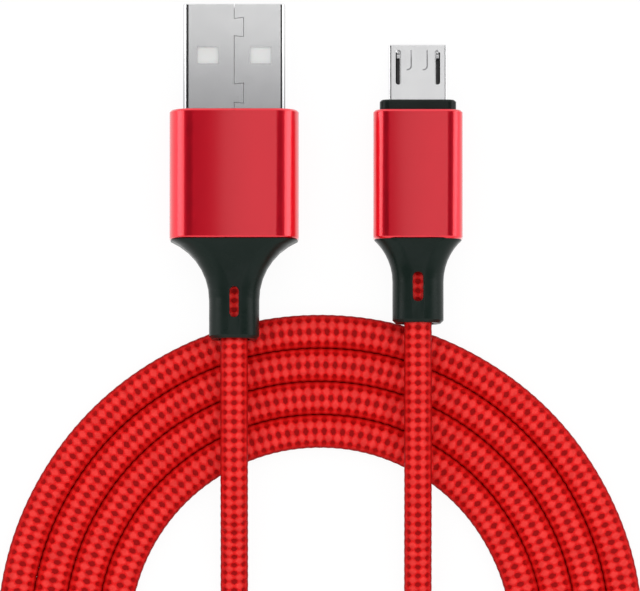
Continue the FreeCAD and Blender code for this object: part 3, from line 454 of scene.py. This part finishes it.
# over and under strands, from how far round and how many stitches along
def braid():
    look = braidLook
    material, tree, shader = newMaterial("redBraid")
    spot = addNode(tree, "ShaderNodeSeparateXYZ")
    feed(tree, addNode(tree, "ShaderNodeUVMap", uv_map="braidPlace").outputs["UV"], spot.inputs[0])
    around = maths(tree, "MULTIPLY", spot.outputs["X"], float(cord["strands"]))
    along = spot.outputs["Y"]
    rising, falling = maths(tree, "ADD", along, around), maths(tree, "SUBTRACT", along, around)
    # which of the two strands is on top, and how far across it
    cells = maths(tree, "ADD", maths(tree, "FLOOR", rising), maths(tree, "FLOOR", falling))
    fallingOver = maths(tree, "FLOORED_MODULO", cells, 2.0)
    inRising = maths(tree, "SUBTRACT", maths(tree, "FRACT", rising), 0.5)
    inFalling = maths(tree, "SUBTRACT", maths(tree, "FRACT", falling), 0.5)
    gap = maths(tree, "SUBTRACT", inFalling, inRising)
    across = maths(tree, "MULTIPLY_ADD", gap, fallingOver, inRising)
    threads = maths(tree, "SINE", maths(tree, "MULTIPLY", across, 2 * math.pi * look["threads"]))
    # 1 in the middle of a hole between strands, -1 on the crest of a strand
    waves = [maths(tree, "SINE", maths(tree, "MULTIPLY", way, math.pi)) for way in (rising, falling)]
    depth = maths(tree, "MULTIPLY", *waves)
    # painted shade on the cord's flanks: its sides are coloured a deeper red, and their relief is
    # shallower
    aside = maths(tree, "SINE", maths(tree, "MULTIPLY", spot.outputs["X"], 2 * math.pi))
    aside = maths(tree, "ABSOLUTE", aside)
    flankShade = ramped(tree, aside, *look["flankShadeFrom"])
    grain = useGroup(tree, speckle, Size=look["grain"])
    grainy = maths(tree, "SUBTRACT", grain["Height"], 0.5)
    rough = maths(tree, "MULTIPLY_ADD", grainy, look["grainShare"], depth)
    # painted highlight on the strand crests and painted shade in the holes between strands, by depth
    # in the weave
    tone = mixed(tree, ramped(tree, rough, *look["betweenFrom"]), look["bright"], look["between"])
    tone = mixed(tree, ramped(tree, rough, *look["gapFrom"]), tone, look["gap"])
    tone = mixed(tree, maths(tree, "MULTIPLY", flankShade, look["flankShadeShare"]), tone, look["flankShade"])
    # painted shade: the very sides of the cord are darkened further, towards the hole colour
    rimShade = ramped(tree, aside, *look["rimShadeFrom"], 0.0, look["rimShadeShare"])
    tone = mixed(tree, rimShade, tone, look["gap"])
    rubbed = mixed(tree, look["rubbedShare"], tone, look["gap"])
    shade = useGroup(tree, handledTone, Main=tone, Rubbed=rubbed, Patch=look["patch"],
                     Amount=look["amount"])
    feed(tree, shade["Colour"], shader.inputs["Base Color"])
    feed(tree, ramped(tree, grain["Height"], 0.3, 0.7, *look["roughness"]), shader.inputs["Roughness"])
    height = maths(tree, "MULTIPLY", depth, ramped(tree, flankShade, 0.0, 1.0, -1.0, -0.3))
    normal = bumped(tree, height, look["strandDepth"])
    feed(tree, bumped(tree, threads, look["threadDepth"], normal), shader.inputs["Normal"])
    shader.inputs["Specular IOR Level"].default_value = look["gloss"]
    return material


# the middle of the phone plug in mm, its lean in degrees, and where a painted highlight lies on its
# latch hooks
phonePlug = {
    "middle": (11.96, -1.4, 3.937), "tilt": 4.8, "shellTop": 0.9,
    "hook": (0.6, 0.6, 0.61), "hookAbove": (0.00075, 0.0009), "hookBehind": (0.01515, 0.01535),
}


# the phone plug's latch arms are dark with painted shade, and their hooks carry a painted highlight on
# their upper part, short of their front ends
def latchSteel():
    material, tree, shader = finish("latchSteel", shadedSpringSteel)
    spot = ownPlace(tree)
    ahead = maths(tree, "SUBTRACT", spot["Y"], phonePlug["middle"][1] * mm)
    above = maths(tree, "SUBTRACT", spot["Z"], phonePlug["middle"][2] * mm)
    above = maths(tree, "MULTIPLY_ADD", ahead, math.tan(math.radians(phonePlug["tilt"])), above)
    # painted highlight: a bright grey on the hooks above a height and behind their front ends
    rubbed = maths(tree, "MULTIPLY", ramped(tree, above, *phonePlug["hookAbove"]),
                   ramped(tree, ahead, *phonePlug["hookBehind"], 1.0, 0.0))
    colour = fedBy(shader.inputs["Base Color"])
    feed(tree, mixed(tree, rubbed, colour, phonePlug["hook"]), shader.inputs["Base Color"])
    return material


# two shallow lines pressed into the top of the phone plug's shell, each hooked to the left, in mm;
# their steel is coloured darker as painted shade of the pressing
pressedLines = {
    "across": [-0.80, 1.08], "front": 15.75, "back": 13.45, "bend": 0.38, "tip": 0.15,
    # the two colours are a darker steel, painted shade in the lines
    "radius": 0.1, "sunk": 0.045, "main": (0.38, 0.38, 0.39), "rubbed": (0.3, 0.3, 0.31),
}


def onPhonePlug(x, y, z):
    tilt = math.radians(phonePlug["tilt"])
    middle = phonePlug["middle"]
    return ((middle[0] + x) * mm, (middle[1] + y * math.cos(tilt) + z * math.sin(tilt)) * mm,
            (middle[2] + z * math.cos(tilt) - y * math.sin(tilt)) * mm)


def makePressedLines():
    # painted shade: the lines are drawn in a darker steel than the shell
    look = {**platedSteel, "main": pressedLines["main"], "rubbed": pressedLines["rubbed"]}
    shadedGrooveSteel = finish("shadedGrooveSteel", look)[0]
    bend, back, front = pressedLines["bend"], pressedLines["back"], pressedLines["front"]
    height = phonePlug["shellTop"] - pressedLines["sunk"]
    for number, x in enumerate(pressedLines["across"]):
        path = [(x, front), (x, back + bend)]
        for degrees in (30, 60, 90):
            turn = math.radians(degrees)
            path.append((x - bend * (1 - math.cos(turn)), back + bend * (1 - math.sin(turn))))
        path.append((x - bend - pressedLines["tip"], back))
        curve = bpy.data.curves.new(f"pressedLine{number + 1}", "CURVE")
        curve.dimensions = "3D"
        curve.bevel_depth = pressedLines["radius"] * mm
        curve.bevel_resolution = 2
        curve.use_fill_caps = True
        line = curve.splines.new("POLY")
        line.points.add(len(path) - 1)
        for point, (along, deep) in zip(line.points, path):
            point.co = (*onPhonePlug(along, deep, height), 1)
        piece = bpy.data.objects.new(f"pressedLine{number + 1}", curve)
        scene.collection.objects.link(piece)
        curve.materials.append(shadedGrooveSteel)
        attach(piece, "cable")


chargerShell = {
    # painted shade towards the sleeve, in the first colour, and a painted dark reflection along the
    # four bends, in the bend colour
    "sleeveShade": (0.37, 0.37, 0.38), "sleeveShadeFrom": (0.006, 0.0195), "sleeveShadeShare": 0.85,
    "middle": 0.00495, "bend": (0.05, 0.05, 0.052),
    "bendIn": (0.0012, 0.0016), "bendOut": (0.00205, 0.00213),
}


# the charger shell's steel has painted shade towards the sleeve, and a painted dark reflection along
# its four bends
def shadedSteel():
    look = chargerShell
    material, tree, shader = finish("chargerSteel", platedSteel)
    spot = ownPlace(tree)
    # painted shade: the steel's colour darkens towards the sleeve
    sleeveShading = ramped(tree, spot["Y"], *look["sleeveShadeFrom"], look["sleeveShadeShare"], 0.0)
    aside = maths(tree, "ABSOLUTE", maths(tree, "SUBTRACT", spot["Z"], look["middle"]))
    # painted reflection: a dark band of colour along each of the four bends
    bend = maths(tree, "MULTIPLY", ramped(tree, aside, *look["bendIn"]),
                 ramped(tree, aside, *look["bendOut"], 1.0, 0.0))
    colour = mixed(tree, sleeveShading, fedBy(shader.inputs["Base Color"]), look["sleeveShade"])
    feed(tree, mixed(tree, bend, colour, look["bend"]), shader.inputs["Base Color"])
    return material


easedEdges = {
    "widths": {"_housing": 0.00003, "strain_relief": 0.00012, "_inner_mould": 0.00012},
    "weld": 0.000002, "sharpest": 35, "flatness": 80,
}


# rounds the sharp edges of a hard piece
def easeEdges(node, width):
    weld = node.modifiers.new("weld", "WELD")
    weld.merge_threshold = easedEdges["weld"]
    bevel = node.modifiers.new("easedEdges", "BEVEL")
    bevel.width = width
    bevel.segments = 2
    bevel.limit_method = "ANGLE"
    bevel.angle_limit = math.radians(easedEdges["sharpest"])
    bevel.use_clamp_overlap = True
    weighted = node.modifiers.new("flatFaces", "WEIGHTED_NORMAL")
    weighted.mode = "FACE_AREA"
    weighted.weight = easedEdges["flatness"]


# what each CAD node is made of

def dressNodes():
    steel = finish("platedSteel", platedSteel)[0]
    chargerSteel = shadedSteel()
    spring = latchSteel()
    gilt = finish("giltContact", giltContact)[0]
    white = finish("whitePlastic", whitePlastic)[0]
    black = finish("blackPlastic", blackPlastic)[0]
    rubber = finish("charcoalRubber", charcoalRubber)[0]
    wires = {name: insulation(name, colour) for name, colour in insulationColours.items()}
    wireOf = {"power": "red", "data_minus": "white", "data_plus": "green", "ground": "black"}
    for name, node in nodes.items():
        if name in ("charger_lead", "cable_coil", "phone_lead"):
            material = rubber  # hidden: the braided cord stands for these
        elif name.endswith("_housing"):
            low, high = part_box(name)
            material = dyedAluminium(name.replace("plug_housing", "aluminium"), (low.x + high.x) / 2)
        elif name.endswith("_shell"):
            material = chargerSteel if name.startswith("charger") else steel
        elif "latch" in name:
            material = spring
        elif "contact" in name:
            material = gilt
        elif "wire" in name:
            material = wires[wireOf[name.split("wire_")[1]] + "_insulation"]
        elif name.endswith("strain_relief"):
            material = rubber
        elif name == "charger_plug_insulator":
            material = white
        else:
            material = black
        for ending, width in easedEdges["widths"].items():
            if name.endswith(ending):
                easeEdges(node, width)
        for place in node.material_slots:
            place.material = material
        if not node.material_slots:
            node.data.materials.append(material)


# studio: a white tent, with black cards and four lamps

studio = {
    "floor": 8.0, "floorColour": 0.5, "floorGlow": 1.13, "floorShare": 0.82,
    "air": 0.5,  # how strongly the white tent lights what isn't shiny
    "lamps": [  # name, place, aim, width, length, glow, seen in metal
        ("topLamp", (0.0, 0.1, 1.6), (0.0, 0.1, 0.0), 2.6, 2.6, 0.84, False),
        ("slotBox", (0.16, 0.16, 1.6), (0.16, 0.16, 0.0), 0.52, 1.3, 1.5, True),
        ("leftStrip", (-0.9, 0.18, 0.22), (0.0, 0.18, 0.22), 0.2, 0.8, 2.2, True),
        ("rightStrip", (0.9, 0.18, 0.22), (0.0, 0.18, 0.22), 0.2, 0.8, 2.2, True),
    ],
    "cardColour": 0.02, "cardHeight": 1.6, "cardReach": 4.0, "cardAlong": (-0.49, 0.81),
    "slot": (-0.1, 0.42),
    "cameraHeight": 2.4, "viewWidth": 0.07529, "aim": (0.46, -14.46), "sensor": 36,
}


# 1 for what is seen straight, in metal or through glass, and 0 for the light that it gives
def seenBehind(tree):
    path = addNode(tree, "ShaderNodeLightPath")
    seen = maths(tree, "MAXIMUM", path.outputs["Is Camera Ray"], path.outputs["Is Glossy Ray"])
    return maths(tree, "MAXIMUM", seen, path.outputs["Is Transmission Ray"])


def flatSheet(name, across, along, height, material):
    (left, right), (near, far) = across, along
    corners = [(left, near), (right, near), (right, far), (left, far)]
    mesh = bpy.data.meshes.new(name)
    mesh.from_pydata([(x, y, height) for x, y in corners], [], [(0, 1, 2, 3)])
    mesh.materials.append(material)
    sheet = bpy.data.objects.new(name, mesh)
    scene.collection.objects.link(sheet)
    return sheet


def makeFloor():
    material, tree, shader = newMaterial("paleFloor")
    shader.inputs["Base Color"].default_value = (*[studio["floorColour"]] * 3, 1)
    shader.inputs["Roughness"].default_value = 0.9
    shader.inputs["Specular IOR Level"].default_value = 0.0
    glow = addNode(tree, "ShaderNodeEmission")
    glow.inputs["Strength"].default_value = studio["floorGlow"]
    seen = seenBehind(tree)
    blend = addNode(tree, "ShaderNodeMixShader")
    feed(tree, maths(tree, "MULTIPLY", seen, studio["floorShare"]), blend.inputs[0])
    feed(tree, shader.outputs[0], blend.inputs[1])
    feed(tree, glow.outputs[0], blend.inputs[2])
    feed(tree, blend.outputs[0], tree.nodes["Material Output"].inputs["Surface"])
    size = studio["floor"] / 2
    floor = flatSheet("studioFloor", (-size, size), (-size, size), 0, material)


# black cards overhead, which only metal sees, leave a bright slot between them
def makeCards():
    material, tree, shader = newMaterial("blackCard")
    shader.inputs["Base Color"].default_value = (*[studio["cardColour"]] * 3, 1)
    shader.inputs["Specular IOR Level"].default_value = 0.0
    left, right = studio["slot"]
    reach = studio["cardReach"]
    for name, across in (("leftCard", (-reach, left)), ("rightCard", (right, reach))):
        card = flatSheet(name, across, studio["cardAlong"], studio["cardHeight"], material)
        card.visible_camera = card.visible_diffuse = card.visible_shadow = False


def makeWorld():
    world = bpy.data.worlds.new("studioAir")
    world.use_nodes = True
    scene.world = world
    tree = world.node_tree
    back = tree.nodes["Background"]
    back.inputs["Color"].default_value = (1, 1, 1, 1)
    strength = maths(tree, "MULTIPLY_ADD", seenBehind(tree), 1.0 - studio["air"], studio["air"])
    feed(tree, strength, back.inputs["Strength"])


def makeLights():
    for name, spot, aim, width, length, glow, shiny in studio["lamps"]:
        light = bpy.data.lights.new(name, "AREA")
        light.shape = "RECTANGLE"
        light.size, light.size_y = width, length
        light.energy = glow * math.pi * width * length
        lamp = bpy.data.objects.new(name, light)
        scene.collection.objects.link(lamp)
        lamp.location = spot
        facing = Vector(aim) - Vector(spot)
        lamp.rotation_euler = facing.to_track_quat("-Z", "Y").to_euler()
        lamp.visible_camera = False
        lamp.visible_glossy = shiny


# straight above, looking down, as the photograph was taken
def makeCamera():
    camera = bpy.data.cameras.new("photoCamera")
    camera.sensor_width = studio["sensor"]
    camera.lens = studio["sensor"] * studio["cameraHeight"] / studio["viewWidth"]
    camera.clip_end = 20
    holder = bpy.data.objects.new("photoCamera", camera)
    scene.collection.objects.link(holder)
    x, y = studio["aim"]
    holder.location = (x * mm, y * mm, studio["cameraHeight"])
    scene.camera = holder


print("studio")
makeFloor()
makeCards()
makeWorld()
makeLights()
makeCamera()
print("cord")
makeCord()
print("finishes")
dressNodes()
print("pressed lines")
makePressedLines()
